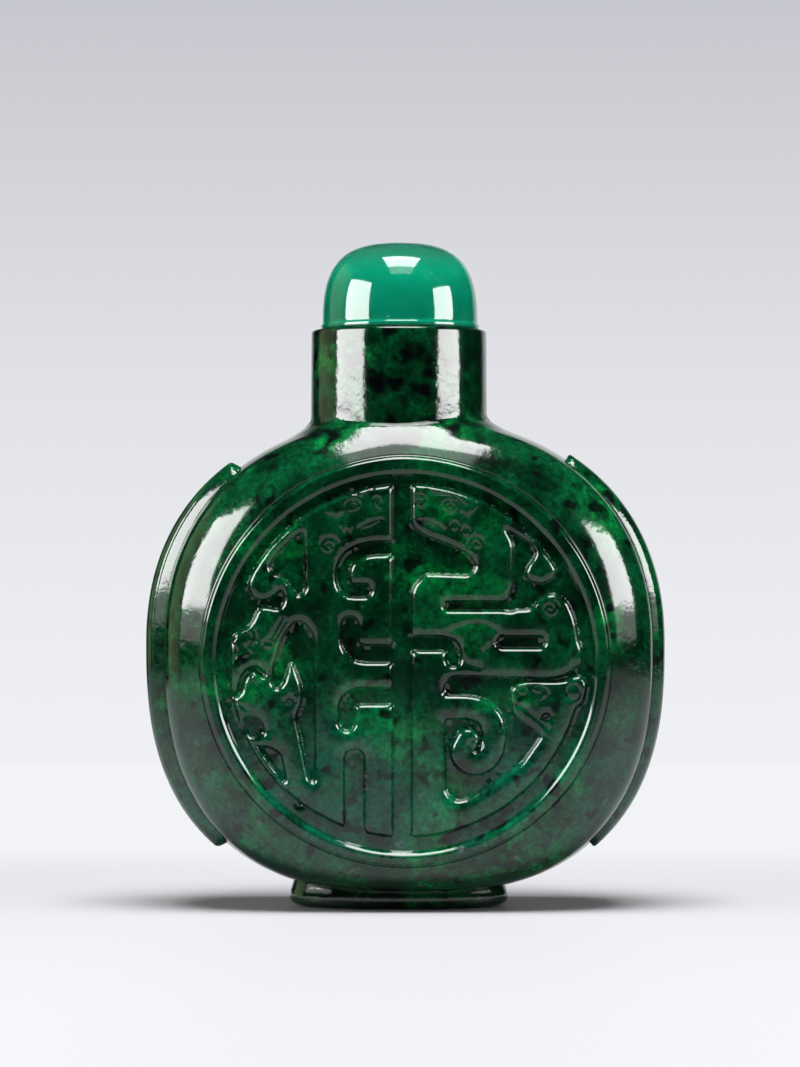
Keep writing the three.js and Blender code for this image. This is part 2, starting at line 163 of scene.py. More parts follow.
def larger(a, b, blend):
    """The larger of two fields, with the corner between them rounded."""
    h = np.maximum(blend - np.abs(a - b), 0) / blend
    return np.maximum(a, b) + h * h * blend / 4


def bell(away, width):
    """1 on a line, and falling off on both sides of it."""
    return np.exp(-((away / width) ** 2))


def thinned(points, spacing):
    """One point for each cell of a grid, for four shifted grids in turn."""
    for shift in ((0, 0), (0.5, 0.5), (0.5, 0), (0, 0.5)):
        cells = np.floor(points / spacing + np.array(shift)).astype(np.int64)
        _, first = np.unique(cells[:, 0] * CELL_KEY + cells[:, 1], return_index=True)
        points = points[np.sort(first)]
    return points


def waves(points, size, seed):
    """Smooth noise, about -1 to 1, with bumps of the given size in the points' own unit."""
    offset = Vector((seed * 7.3, seed * 3.1, seed * 5.7))
    return np.array([noise.fractal(Vector(p) / size + offset, 1.0, 2.0, 2) for p in points])


def mesh_object(name, points, faces):
    """An object from points in millimetres."""
    mesh = bpy.data.meshes.new(name)
    mesh.from_pydata((np.asarray(points) * MM).tolist(), [], faces)
    mesh.validate()
    piece = bpy.data.objects.new(name, mesh)
    bpy.context.scene.collection.objects.link(piece)
    return piece


def combined(piece, tool, operation):
    """Joins the tool to the piece, or cuts it away, and deletes the tool."""
    step = piece.modifiers.new("step", "BOOLEAN")
    step.operation = operation
    step.solver = "MANIFOLD"
    step.object = tool
    graph = bpy.context.evaluated_depsgraph_get()
    result = bpy.data.meshes.new_from_object(piece.evaluated_get(graph))
    piece.modifiers.clear()
    old = piece.data
    piece.data = result
    bpy.data.meshes.remove(old)
    bpy.data.objects.remove(tool)


# ---- carving, in the medallion's own plane: u to the right and v up from its centre ----

AXIS_U = -0.3  # the channel down the middle
TOP = 17.2  # well past the disc's edge

# Cut bands of the front: width and corners.
FRONT_LINES = [
    (1.95, (AXIS_U, TOP), (AXIS_U, -TOP)),
    (1.45, (-0.8, 10.4), (-3.6, 10.4), (-5.65, 9.3), (-5.65, 6.6), (-3.7, 6.6)),
    (1.8, (-0.8, 0.9), (-5.0, 0.9), (-5.0, 3.5)),
    (1.7, (-0.8, -2.9), (-5.3, -2.9), (-5.3, -5.3)),
    (2.1, (-4.6, -TOP), (-4.6, -8.6)),
    (1.05, (3.85, 5.2), (9.4, 5.2)),
    (1.55, (0.4, 1.85), (4.3, 1.85), (4.3, 0.4)),
    (1.3, (8.7, 1.95), (12.0, 1.95)),
    (0.7, (-16.6, -2.7), (-15.0, -2.8), (-14.7, -1.2), (-13.7, -0.3), (-12.8, -0.9)),
]

# Cut areas of the front: rounding of the corners, and the corners.
FRONT_HOLLOWS = [
    # outside the left tendril and down the back of the left head
    (0.7, (-12.6, 13.4), (-11.7, 12.0), (-13.5, 9.5), (-14.2, 7.7), (-13.9, 6.3), (-12.9, 5.7),
     (-11.7, 6.3), (-11.1, 7.0), (-10.7, 5.9), (-11.2, 4.7), (-13.1, 5.1), (-13.8, 3.4),
     (-15.5, 2.4), (-15.8, 1.2), (-15.8, -1.9), (-17.5, -2.4), (-17.5, 8)),
    # inside the left tendril
    (0.5, (-9.1, 12.1), (-8.85, 6.5), (-9.7, 5.9), (-10.5, 6.9), (-10.9, 7.6), (-12.1, 8.1),
     (-12.4, 8.8), (-11.7, 10.0), (-10.2, 11.4)),
    # the tall hollow around the leaf
    (0.6, (-10.0, 4.1), (-8.9, 3.8), (-8.1, 2.6), (-8.0, -9.6), (-8.1, -10.8), (-8.8, -10.6),
     (-9.6, -6.6), (-10.0, -4.7), (-9.4, -3.2), (-9.5, -1.9), (-10.3, 0.2), (-10.8, -1.8),
     (-11.5, -2.5), (-12.2, -1.9), (-11.9, 0.3), (-11.2, 2.5)),
    # two pockets below the left head
    (0.4, (-13.7, -7.2), (-12.0, -7.4), (-11.0, -8.2), (-10.6, -10.6), (-11.1, -10.8)),
    (0.5, (-15.3, -5.6), (-14.2, -4.4), (-12.8, -5.1), (-12.5, -6.4), (-13.9, -6.9)),
    # under the right head's jaw
    (0.6, (-0.2, 13.2), (1.7, 11.7), (4.3, 10.7), (6.1, 9.7), (6.5, 8.8), (5.9, 7.85),
     (1.7, 8.0), (0.6, 6.6), (-0.2, 6.0)),
    # from the long slot up, and around the right tendril to the moat
    (0.6, (8.9, 4.7), (8.9, 5.6), (9.5, 6.8), (9.6, 10.8), (8.8, 12.3), (11.4, 11.0),
     (12.0, 10.0), (11.0, 8.6), (10.9, 7.8), (12.0, 7.2), (13.3, 7.8), (13.8, 9.0),
     (13.3, 10.4), (15.6, 10.0), (17.5, 6.0), (17.5, 1.0), (15.6, 1.6), (15.2, 4.0),
     (14.4, 5.7), (13.1, 6.3), (11.9, 5.6), (11.4, 4.8)),
    # around the volute and the lower right head
    (0.6, (17.0, -0.3), (15.5, 0.1), (14.5, -0.9), (13.0, -1.2), (4.1, -0.95), (3.3, -1.9),
     (3.5, -11.6), (4.4, -12.5), (5.9, -12.2), (10.5, -9.1), (12.4, -6.4), (9.7, -4.5),
     (9.6, -2.1), (10.6, -1.7), (14.0, -1.7), (16.9, -1.0)),
]

# Bands left standing in those areas, the volute and the jaw's tip: width and corners.
FRONT_RAISED = [
    (1.9, (2.2, -3.9), (6.6, -3.9), (8.1, -5.4), (7.8, -8.2), (6.2, -9.2), (4.9, -8.2), (5.6, -6.9)),
    (1.6, (15.4, -2.1), (15.2, -2.9)),
]

BACK_CUT = 0.9
BACK_PETAL = ((-1.7, 5.6), (-3.3, 10.4), (0, 14.4), (3.3, 10.4), (1.7, 5.6))
BACK_PETALS = 8
BOSS_RADIUS = 3.6


def rounded(corners, rounding, closed=False):
    """The way through the corners, as points, with each inner corner rounded off."""
    at = np.array(corners, float)
    count = len(at)
    way = [] if closed else [at[:1]]
    t = np.linspace(0, 1, 7)[:, None]
    for i in range(count) if closed else range(1, count - 1):
        corner = at[i]
        ends = []
        for other in (at[i - 1], at[(i + 1) % count]):
            reach = min(0.5, rounding / np.linalg.norm(other - corner))
            ends.append(corner + reach * (other - corner))
        way.append((1 - t) ** 2 * ends[0] + 2 * t * (1 - t) * corner + t * t * ends[1])
    if not closed:
        way.append(at[-1:])
    return np.concatenate(way)


FINE = 0.22  # widths of the fine cut lines
SOFT = 0.4


def stroke(*corners, width=FINE):
    """A fine line through the corners, as its width and way; so are the next two."""
    return width, rounded(corners, 0.7)


def spiral(centre, radius, turns, start, hand=1):
    t = np.linspace(0, 1, 30)
    angle = math.radians(start) + hand * turns * 2 * math.pi * t
    reach = radius * (1 - 0.86 * t)
    return FINE, np.stack([centre[0] + reach * np.cos(angle), centre[1] + reach * np.sin(angle)], 1)


def oval(centre, width, height, tilt=0.0):
    angle = np.linspace(0, 2 * math.pi, 25)
    c, s = math.cos(math.radians(tilt)), math.sin(math.radians(tilt))
    a, b = width / 2 * np.cos(angle), height / 2 * np.sin(angle)
    return FINE, np.stack([centre[0] + a * c - b * s, centre[1] + a * s + b * c], 1)


# Fine cut lines of the front.
FRONT_FINE = [
    # left head at the top: eye and brow, nose, mouth, teeth, jaw curl
    stroke((-7.0, 13.4), (-6.1, 13.1), (-5.4, 13.5), (-5.5, 14.4), (-4.6, 14.9), (-4.0, 14.4),
           (-4.1, 13.8), (-5.0, 13.6)),
    stroke((-4.9, 15.6), (-4.2, 15.1), (-3.5, 15.3), (-2.9, 15.75)),
    oval((-4.7, 14.25), 0.24, 0.24),
    oval((-2.5, 14.4), 0.64, 1.24, 20),
    stroke((-4.2, 12.2), (-3.3, 12.75), (-2.3, 13.0)),
    stroke((-4.1, 12.1), (-3.1, 12.25), (-2.3, 12.8)),
    stroke((-5.9, 12.2), (-5.5, 11.5), (-5.25, 12.2), (-4.95, 11.5), (-4.7, 12.2)),
    spiral((-6.95, 10.5), 0.95, 1.5, 34),
    # right head at the top: snout curl, eye and brow, mouth, teeth, jaw curl
    spiral((1.3, 14.5), 0.75, 1.4, 115, -1),
    oval((4.05, 14.15), 1.5, 1.2),
    oval((4.05, 14.15), 0.44, 0.44),
    stroke((1.9, 15.7), (2.7, 15.2), (3.5, 15.3), (4.4, 15.1), (5.3, 14.3)),
    stroke((4.9, 13.6), (5.4, 13.2), (6.0, 13.4), (6.5, 14.0)),
    stroke((1.3, 12.9), (2.3, 12.8), (3.3, 12.2)),
    stroke((1.5, 12.7), (2.3, 12.4), (3.3, 12.2)),
    oval((4.4, 12.3), 0.7, 0.84),
    oval((5.4, 11.8), 0.7, 0.84),
    spiral((6.4, 10.75), 0.85, 1.5, 206, -1),
    # where the right bands pass under each other
    stroke((3.7, 2.7), (5.3, 3.5), (6.9, 3.7), (8.1, 3.1), (8.6, 2.5), width=SOFT),
    stroke((4.9, 0.9), (5.4, 0.0), (6.6, -0.3), width=SOFT),
    stroke((7.2, 1.2), (8.0, 1.9), (8.7, 2.1)),
    # left head: ear, eye, mouth, curls
    stroke((-11.2, 4.0), (-12.1, 2.3)),
    stroke((-10.8, 3.8), (-11.7, 2.2)),
    oval((-12.4, 1.6), 0.9, 0.8),
    stroke((-15.5, 2.2), (-14.5, 2.9), (-13.9, 2.6), (-13.9, 1.8), (-14.4, 1.4), (-13.8, 0.8),
           (-14.3, 0.5)),
    stroke((-13.6, 3.0), (-13.3, 2.0), (-13.7, 1.6)),
    stroke((-15.5, 1.8), (-15.1, 1.0), (-15.4, 0.3)),
    spiral((-13.4, -1.4), 0.65, 1.4, 12),
    stroke((-16.0, -3.5), (-15.1, -3.4), (-14.2, -4.3)),
    spiral((-10.5, -3.5), 0.5, 1.2, 12),
    # lower right head: eye and brow, cheek, snout, mouth, jaw curl
    oval((11.8, -2.35), 1.0, 0.7, -28),
    stroke((10.9, -2.0), (12.2, -1.9), (13.0, -2.8), (12.5, -3.2)),
    oval((10.5, -2.5), 0.8, 0.8),
    oval((15.1, -2.6), 1.1, 1.4),
    stroke((9.9, -3.6), (10.6, -3.9), (11.6, -4.8), (12.6, -5.6)),
    spiral((12.7, -4.8), 0.55, 1.3, 195, -1),
    # scroll ends
    spiral((13.0, 4.9), 0.9, 1.5, 69, -1),
    spiral((6.3, -7.2), 0.8, 1.4, 69, -1),
    spiral((-9.5, -12.6), 0.55, 1.3, 0),
]


def near(u, v, way, margin):
    low, high = way.min(0) - margin, way.max(0) + margin
    return (u > low[0]) & (u < high[0]) & (v > low[1]) & (v < high[1])


def distance(u, v, way, closed=False):
    """Distance from each point to the way."""
    nearest = np.full(u.shape, np.inf)
    count = len(way)
    for i in range(count if closed else count - 1):
        a, b = way[i], way[(i + 1) % count]
        run = b - a
        length = run @ run
        if length < 1e-12:
            continue
        t = np.clip(((u - a[0]) * run[0] + (v - a[1]) * run[1]) / length, 0, 1)
        nearest = np.minimum(nearest, (u - a[0] - t * run[0]) ** 2 + (v - a[1] - t * run[1]) ** 2)
    return np.sqrt(nearest)


def inside(u, v, way):
    within = np.zeros(u.shape, bool)
    for a, b in zip(way, np.roll(way, -1, axis=0)):
        if a[1] == b[1]:
            continue
        crossing = (b[0] - a[0]) * (v - a[1]) / (b[1] - a[1]) + a[0]
        within ^= ((a[1] > v) != (b[1] > v)) & (u < crossing)
    return within


MARGIN = 1.4  # a cut changes the depth only this near to it
CORNER_BLEND = 0.45
BAND_ROUNDING = 0.9  # of a band's inner corners, as a share of its width


def disc_depth(u, v):
    return np.hypot(u, v - DISC_V) - DISC_RADIUS


def band(u, v, way, width):
    """Depth inside a band along the way, for the points near it, and which points those are."""
    w = near(u, v, way, width / 2 + MARGIN)
    return w, width / 2 - distance(u[w], v[w], way)


def front_depth(u, v):
    """How far each point lies inside what is cut away from the front disc; negative on what stands."""
    depth = disc_depth(u, v)
    for width, *corners in FRONT_LINES:
        w, within = band(u, v, rounded(corners, BAND_ROUNDING * width), width)
        depth[w] = larger(depth[w], within, CORNER_BLEND)
    for rounding, *corners in FRONT_HOLLOWS:
        way = rounded(corners, rounding, closed=True)
        w = near(u, v, way, MARGIN)
        edge = distance(u[w], v[w], way, closed=True)
        depth[w] = larger(depth[w], np.where(inside(u[w], v[w], way), edge, -edge), CORNER_BLEND)
    for width, *corners in FRONT_RAISED:
        w, within = band(u, v, rounded(corners, BAND_ROUNDING * width), width)
        depth[w] = -larger(-depth[w], within, CORNER_BLEND)
    return depth


def back_depth(u, v):
    """The same for the back: one petal line, turned about a round boss."""
    depth = disc_depth(u, v)
    way = rounded(BACK_PETAL, 1.6)
    for angle in np.linspace(0, 2 * math.pi, BACK_PETALS, endpoint=False):
        c, s = math.cos(angle), math.sin(angle)
        petal = np.stack([way[:, 0] * c - way[:, 1] * s, way[:, 0] * s + way[:, 1] * c], 1)
        w, within = band(u, v, petal, BACK_CUT)
        depth[w] = larger(depth[w], within, CORNER_BLEND)
    ring = BACK_CUT / 2 - np.abs(np.hypot(u, v) - BOSS_RADIUS)
    return larger(depth, ring, CORNER_BLEND)


RIM_RUN = 0.3  # the carving fades out this far inside the field's edge


def relief(u, v, depth, fine):
    """Height of the carved face below the ring's top, for points whose depth in the cut is known."""
    height = -RELIEF * np.clip((depth + WALL_RUN) / (2 * WALL_RUN), 0, 1) ** WALL_POWER
    height -= PILLOW * np.clip(1 + depth / PILLOW_RUN, 0, 1) ** 2 * (depth < 0)
    groove = np.zeros(u.shape)
    for width, way in fine:
        w = near(u, v, way, 1.0)
        groove[w] = np.maximum(groove[w], bell(distance(u[w], v[w], way), 0.5 * width))
    height -= GROOVE_DEPTH * groove
    within = smooth((FIELD_RADIUS - 0.02 - np.hypot(u, v)) / RIM_RUN)
    return within * height - (1 - within) * RELIEF


def level_points(u, v, field, level):
    """Points where the field, known on a grid, passes the level."""
    found = []
    for here, beyond in ((np.s_[:-1], np.s_[1:]), (np.s_[:, :-1], np.s_[:, 1:])):
        low, high = field[here], field[beyond]
        w = (low > level) != (high > level)
        t = (level - low[w]) / (high[w] - low[w])
        ends = [(grid[here][w], grid[beyond][w]) for grid in (u, v)]
        found.append(np.stack([a + t * (b - a) for a, b in ends], 1))
    return np.concatenate(found)


def offset_points(way, spacing, offsets):
    """Points along a way and beside it, at the given distances."""
    step = np.linalg.norm(np.diff(way, axis=0), axis=1)
    along = np.concatenate([[0], np.cumsum(step)])
    at = np.linspace(0, along[-1], max(2, int(along[-1] / spacing) + 1))
    points = np.stack([np.interp(at, along, way[:, i]) for i in (0, 1)], 1)
    run = np.gradient(points, axis=0)
    run /= np.linalg.norm(run, axis=1, keepdims=True) + 1e-12
    side = np.stack([-run[:, 1], run[:, 0]], 1)
    return np.concatenate([points + d * side for d in offsets])


GRID_LINES = 560
WALL_ROWS = (-1.15, -0.85, -0.55, -0.25, 0.05, 0.3, 0.55, 0.8, 1.0, 1.2)  # as shares of WALL_RUN
BESIDE_WALL = 0.55  # a further row on each side of a wall
GROOVE_ROWS = (-0.95, -0.55, -0.27, 0, 0.27, 0.55, 0.95)  # as shares of a fine line's width
GROOVE_SPACING = 0.13
RIM_ROWS = (0.11, 0.24, 0.42)  # inside the field's edge
CLOSEST = 0.055


def field_points(depth_of, fine, along, open_spacing):
    """Where a carved field needs points: rows that follow each wall and each fine line, and a wide
    mesh in between."""
    grid = np.linspace(-FIELD_RADIUS, FIELD_RADIUS, GRID_LINES)
    u, v = np.meshgrid(grid, grid)
    depth = depth_of(u, v)
    rows = [level_points(u, v, depth, share * WALL_RUN) for share in WALL_ROWS]
    points = [thinned(row, along) for row in rows]
    for level in (-BESIDE_WALL, BESIDE_WALL):
        points.append(thinned(level_points(u, v, depth, level), 1.6 * along))
    for width, way in fine:
        points.append(offset_points(way, GROOVE_SPACING, np.array(GROOVE_ROWS) * width))
    columns = np.arange(-FIELD_RADIUS, FIELD_RADIUS, open_spacing)
    hexagons = np.stack(np.meshgrid(columns, columns * math.sqrt(3) / 2), -1)
    hexagons[1::2, :, 0] += open_spacing / 2
    hexagons = hexagons.reshape(-1, 2)
    u, v = hexagons.T
    clear = np.abs(depth_of(u, v)) > BESIDE_WALL + open_spacing / 3
    for width, way in fine:
        w = near(u, v, way, 1.5)
        clear[w] &= distance(u[w], v[w], way) > width + open_spacing / 3
    points.append(hexagons[clear])
    turn = np.linspace(0, 2 * math.pi, 360, endpoint=False)
    circle = np.stack([np.cos(turn), np.sin(turn)], 1)
    rim = [(FIELD_RADIUS - inset) * circle for inset in RIM_ROWS]
    points = thinned(np.concatenate(rim + points), CLOSEST)
    return points[np.hypot(points[:, 0], points[:, 1]) < FIELD_RADIUS - 0.1]


# ---- body: a sheet turned about the depth axis ----

def outline_reach(angle, axis_x, axis_z, grow=0.0):
    """Distance from an axis to the body's outline in each direction, found by halving."""
    close = np.zeros_like(angle)
    far = np.full_like(angle, 2 * BODY_HALF_WIDTH)
    for _ in range(46):
        middle = (close + far) / 2
        x = axis_x - BODY_X + middle * np.cos(angle)
        dz = axis_z + middle * np.sin(angle) - BODY_WIDEST
        power = np.where(dz > 0, RISE_POWER, DROP_POWER)
        height = np.where(dz > 0, BODY_RISE, BODY_DROP) + grow
        level = (np.abs(x) / (BODY_HALF_WIDTH + grow)) ** power + (np.abs(dz) / height) ** power
        close = np.where(level < 1, middle, close)
        far = np.where(level < 1, far, middle)
    return close


BODY_COLUMNS = 270
END_COLUMNS = np.radians(np.linspace(-3, 3, 19))  # around each end of a strap


def body_columns():
    """Directions of the sheet's columns, closer together at the ends of the straps."""
    ends = []
    for side in (LEFT, RIGHT):
        for angle in (STRAP_TOP_ANGLE[side], -STRAP_BASE_ANGLE):
            turn = angle if side == RIGHT else math.pi - angle
            reach = outline_reach(np.array([turn]), BODY_X, BODY_WIDEST)[0]
            x, z = BODY_X + reach * math.cos(turn), BODY_WIDEST + reach * math.sin(turn)
            ends.append(math.atan2(z - MEDALLION_Z, x) % (2 * math.pi))
    columns = np.linspace(0, 2 * math.pi, BODY_COLUMNS, endpoint=False)
    for end in ends:
        columns = columns[np.abs(columns - end) > END_COLUMNS[-1]]
        columns = np.concatenate([columns, end + END_COLUMNS])
    return np.sort(columns)


def side_section(count):
    """The body's section from the ring's foot, share 0, to the outline, share 1: a round shoulder and
    then a slightly bowed side. Gives the depths of the shoulder's rows, and a function from depth to
    share."""
    flat = FACE_DEPTH - RING_STEP
    angle = np.linspace(FACE_SLOPE, SIDE_SLOPE, count)
    run = SHOULDER_RADIUS * (np.sin(angle) - math.sin(FACE_SLOPE))
    depth = flat - SHOULDER_RADIUS * (math.cos(FACE_SLOPE) - np.cos(angle))
    side_radius = depth[-1] / math.cos(SIDE_SLOPE)
    full = run[-1] + side_radius * (1 - math.sin(SIDE_SLOPE))
    centre = flat - SHOULDER_RADIUS * math.cos(FACE_SLOPE)

    def share_at(y):
        shoulder = np.sqrt(np.maximum(SHOULDER_RADIUS ** 2 - (y - centre) ** 2, 0))
        side = full - side_radius + np.sqrt(side_radius ** 2 - y ** 2)
        return np.where(y > depth[-1], shoulder - SHOULDER_RADIUS * math.sin(FACE_SLOPE), side) / full

    return depth, share_at


def ring_height(r):
    """Height of the ring, and of the field inside it, above the body's flat face."""
    inner = RING_STEP - RELIEF * np.clip((RING_INNER_EDGE - r) / RING_WALL_RUN, 0, 1) ** WALL_POWER
    fall = RING_FALL * np.clip(r - RING_INNER_EDGE, 0, 1)
    outer = 1 - smooth((r - RING_OUTER_EDGE) / (RING_SLOPE_END - RING_OUTER_EDGE))
    return (inner - fall) * outer - RING_GROOVE * bell(r - RING_GROOVE_RADIUS, RING_GROOVE_WIDTH)


def body_rows():
    """(share, depth) rows of the sheet from the front field to the back one. Up to 1 the share is of the
    ring's radius at its foot, and from 1 to 2 it runs on to the outline."""
    ring = np.concatenate([
        [FIELD_RADIUS],
        np.linspace(RING_INNER_EDGE - RING_WALL_RUN, RING_INNER_EDGE, 11),
        [17.6, 17.85, 18.0],
        np.linspace(RING_OUTER_EDGE, RING_FOOT, 12),
    ])
    flat = FACE_DEPTH - RING_STEP
    front = [(r / RING_FOOT, -(flat + ring_height(r))) for r in ring[:-1]]
    shoulder, share_at = side_section(19)
    strap_edge = [1.2, 0.8, 0.45, 0.25, 0.12, 0.05, 0, -0.04, -0.1, -0.2, -0.35]
    strap_line = [0.1, 0.05, 0, -0.05, -0.1]
    depth = np.concatenate([
        shoulder,
        STRAP_HALF_DEPTH + np.array(strap_edge),
        STRAP_LINE_DEPTH + np.array(strap_line),
        [3.7, 3.4, 3.05, 2.7, 2.3, 1.7, 0.9, 0],
    ])
    front += [(1 + share, -y) for share, y in zip(share_at(depth), depth)]
    return front + [(share, -y) for share, y in reversed(front[:-1])]


def rounded_box_distance(a, b, half_a, half_b, radius):
    """Signed distance to a rounded rectangle, positive inside."""
    p = np.abs(a) - half_a + radius
    q = np.abs(b) - half_b + radius
    outside = np.hypot(np.maximum(p, 0), np.maximum(q, 0))
    return radius - outside - np.minimum(np.maximum(p, q), 0)


def with_straps(points, column_outline):
    """Moves the sheet's points out where the straps stand on the narrow sides. `column_outline` is the
    outline's point and its outward direction for each point's column."""
    foot, out = column_outline
    right = foot[:, 0] > 0
    angle = np.arctan2(foot[:, 1] - BODY_WIDEST, np.abs(foot[:, 0] - BODY_X))
    top_angle = np.where(right, STRAP_TOP_ANGLE[RIGHT], STRAP_TOP_ANGLE[LEFT])
    along = (angle - (top_angle - STRAP_BASE_ANGLE) / 2) * BODY_HALF_WIDTH
    half_length = (top_angle + STRAP_BASE_ANGLE) / 2 * BODY_HALF_WIDTH
    into = rounded_box_distance(along, points[:, 1], half_length, STRAP_HALF_DEPTH, STRAP_CORNER)
    end_proud = np.where(angle > 0, STRAP_TOP_PROUD, STRAP_BASE_PROUD)
    share = np.where(angle > 0, angle / top_angle, -angle / STRAP_BASE_ANGLE)
    proud = STRAP_PROUD + (end_proud - STRAP_PROUD) * np.clip(share, 0, 1) ** 2
    from_middle = np.abs(points[:, 1])
    across = np.clip((STRAP_HALF_DEPTH - from_middle) / STRAP_EDGE, 0, 1)
    start, base = math.cos(STRAP_EDGE_SLOPE), math.sin(STRAP_EDGE_SLOPE)
    rise = (np.sqrt(1 - (start * (1 - across)) ** 2) - base) / (1 - base)
    end = 1 - np.clip(into / STRAP_END, 0, 1)
    rise = rise * (1 - end ** STRAP_END_POWER) ** (1 / STRAP_END_POWER)
    rise -= STRAP_LINE_CUT * bell(from_middle - STRAP_LINE_DEPTH, STRAP_LINE_WIDTH) * (into > 0)
    seam = SEAM_CUT * bell(into, SEAM_WIDTH) * (into <= 0)
    top = foot + proud[:, None] * out - np.array([BODY_X, 0])
    moved = points.copy()
    for axis, place in ((0, 0), (2, 1)):
        moved[:, axis] += rise * (top[:, place] - points[:, axis])
        moved[:, axis] -= seam * out[:, place]
    return moved


FRONT, BACK = 1, -1
FIELDS = (  # depth in the cut, fine lines, spacing of points along the walls and in the open, side
    (front_depth, FRONT_FINE, 0.165, 0.42, FRONT),
    (back_depth, [], 0.27, 0.9, BACK),
)


def body_form():
    """The whole outer body: the sheet from ring to ring over the narrow side, closed by both fields."""
    angles = body_columns()
    rows = body_rows()
    count = len(angles)
    reach = outline_reach(angles, 0, MEDALLION_Z)
    ends = np.stack([reach * np.cos(angles), MEDALLION_Z + reach * np.sin(angles)], 1)
    run = np.roll(ends, -1, axis=0) - np.roll(ends, 1, axis=0)
    out = np.stack([run[:, 1], -run[:, 0]], 1) / np.linalg.norm(run, axis=1, keepdims=True)
    lift_shares = (RING_INNER_EDGE / RING_FOOT, RING_OUTER_EDGE / RING_FOOT, 1, 1 + LIFT_GONE)
    points = []
    for share, y in rows:
        r = share * RING_FOOT if share <= 1 else RING_FOOT + (share - 1) * (reach - RING_FOOT)
        r = np.broadcast_to(r, angles.shape)
        lift = np.interp(share, lift_shares, (0, 1, 1, 0))
        z = MEDALLION_Z + r * np.sin(angles) + RING_LIFT * lift
        row = np.stack([r * np.cos(angles), np.full(count, y), z], 1)
        points.append(with_straps(row, (ends, out)) if share > 1.5 else row)
    sheet = np.concatenate(points)
    from_neck = np.maximum(np.hypot(sheet[:, 0] - NECK_X, sheet[:, 1]) - NECK_RADIUS, 0)
    sheet[:, 2] += COLLAR_RISE * bell(from_neck, COLLAR_RUN) * (sheet[:, 2] > BODY_WIDEST)
    faces = []
    for row in range(len(rows) - 1):
        for i in range(count):
            a, b = row * count + i, row * count + (i + 1) % count
            faces.append((a, a + count, b + count, b))
    start = len(sheet)
    parts = [sheet]
    for depth_of, fine, along, open_spacing, side in FIELDS:
        ring_row = 0 if side == FRONT else len(rows) - 1
        rim = sheet[ring_row * count:(ring_row + 1) * count]
        rim_uv = np.stack([side * rim[:, 0], rim[:, 2] - MEDALLION_Z], 1)
        loose = field_points(depth_of, fine, along, open_spacing)
        flat = np.concatenate([rim_uv, loose])
        made, _, triangles, *_ = delaunay_2d_cdt([Vector(p) for p in flat], [], [], 0, 1e-7, False)
        if len(made) != len(flat):
            raise RuntimeError("the field's triangulation merged some points")
        u, v = loose.T
        y = -side * (FACE_DEPTH + relief(u, v, depth_of(u, v), fine))
        parts.append(np.stack([side * u, y, MEDALLION_Z + v], 1))
        for triangle in triangles:
            corners = [ring_row * count + i if i < count else start + i - count for i in triangle]
            (ax, ay), (bx, by), (cx, cy) = (flat[i] for i in triangle)
            turn = (bx - ax) * (cy - ay) - (by - ay) * (cx - ax)
            if abs(turn) < 1e-9:
                continue
            faces.append(corners if turn > 0 else corners[::-1])
        start += len(loose)
    return mesh_object("bottle_form", np.concatenate(parts), faces)


# ---- turned and oval forms ----

def capped(name, start, rings, end):
    """A closed form that starts at a point, passes through rings of points and ends at a point."""
    count = len(rings[0])
    points = [start] + [point for ring in rings for point in ring] + [end]
    top = 1 + (len(rings) - 1) * count
    faces = []
    for i in range(count):
        j = (i + 1) % count
        faces.append((0, 1 + j, 1 + i))
        for row in range(len(rings) - 1):
            a, b = 1 + row * count + i, 1 + row * count + j
            faces.append((a, b, b + count, a + count))
        faces.append((top + i, top + j, len(points) - 1))
    return mesh_object(name, points, faces)


def turned(name, profile, centre_x, columns, power=2.0, scale=(1.0, 1.0)):
    """A form turned about Z. Profile points are (radius, z), and the first and last are on the axis. The
    section is a superellipse of the given power, scaled along X and Y."""
    angles = np.linspace(0, 2 * math.pi, columns, endpoint=False)
    c = np.sign(np.cos(angles)) * np.abs(np.cos(angles)) ** (2 / power)
    s = np.sign(np.sin(angles)) * np.abs(np.sin(angles)) ** (2 / power)
    rings = [[(centre_x + r * scale[0] * a, r * scale[1] * b, z) for a, b in zip(c, s)]
             for r, z in profile[1:-1]]
    return capped(name, (centre_x, 0, profile[0][1]), rings, (centre_x, 0, profile[-1][1]))


def arc(centre, radius, start, end, count):
    angles = np.radians(np.linspace(start, end, count))
    return [(centre[0] + radius * math.cos(a), centre[1] + radius * math.sin(a)) for a in angles]


def neck_form():
    lip = arc((NECK_RADIUS - LIP_ROUNDING, NECK_TOP - LIP_ROUNDING), LIP_ROUNDING, 0, 90, 7)
    heights = np.linspace(NECK_ROOT, NECK_TOP - LIP_ROUNDING, 26)
    sides = [(NECK_RADIUS + NECK_TAPER * (NECK_TOP - z), z) for z in heights]
    inner = [(r, NECK_TOP) for r in (7.2, 6.2, 5.0)]
    profile = [(0, NECK_ROOT)] + sides[:-1] + lip + inner + [(0, NECK_TOP)]
    return turned("neck_form", profile, NECK_X, 128)


def mouth_form():
    bottom = NECK_TOP - MOUTH_DEPTH
    above = NECK_TOP + 1
    wide = MOUTH_RADIUS + MOUTH_FLARE
    flare = arc((wide, NECK_TOP - MOUTH_FLARE), MOUTH_FLARE, 180, 90, 6)
    profile = [(0, bottom), (MOUTH_RADIUS, bottom)] + flare + [(wide, above), (0, above)]
    return turned("mouth_form", profile, NECK_X, 64)


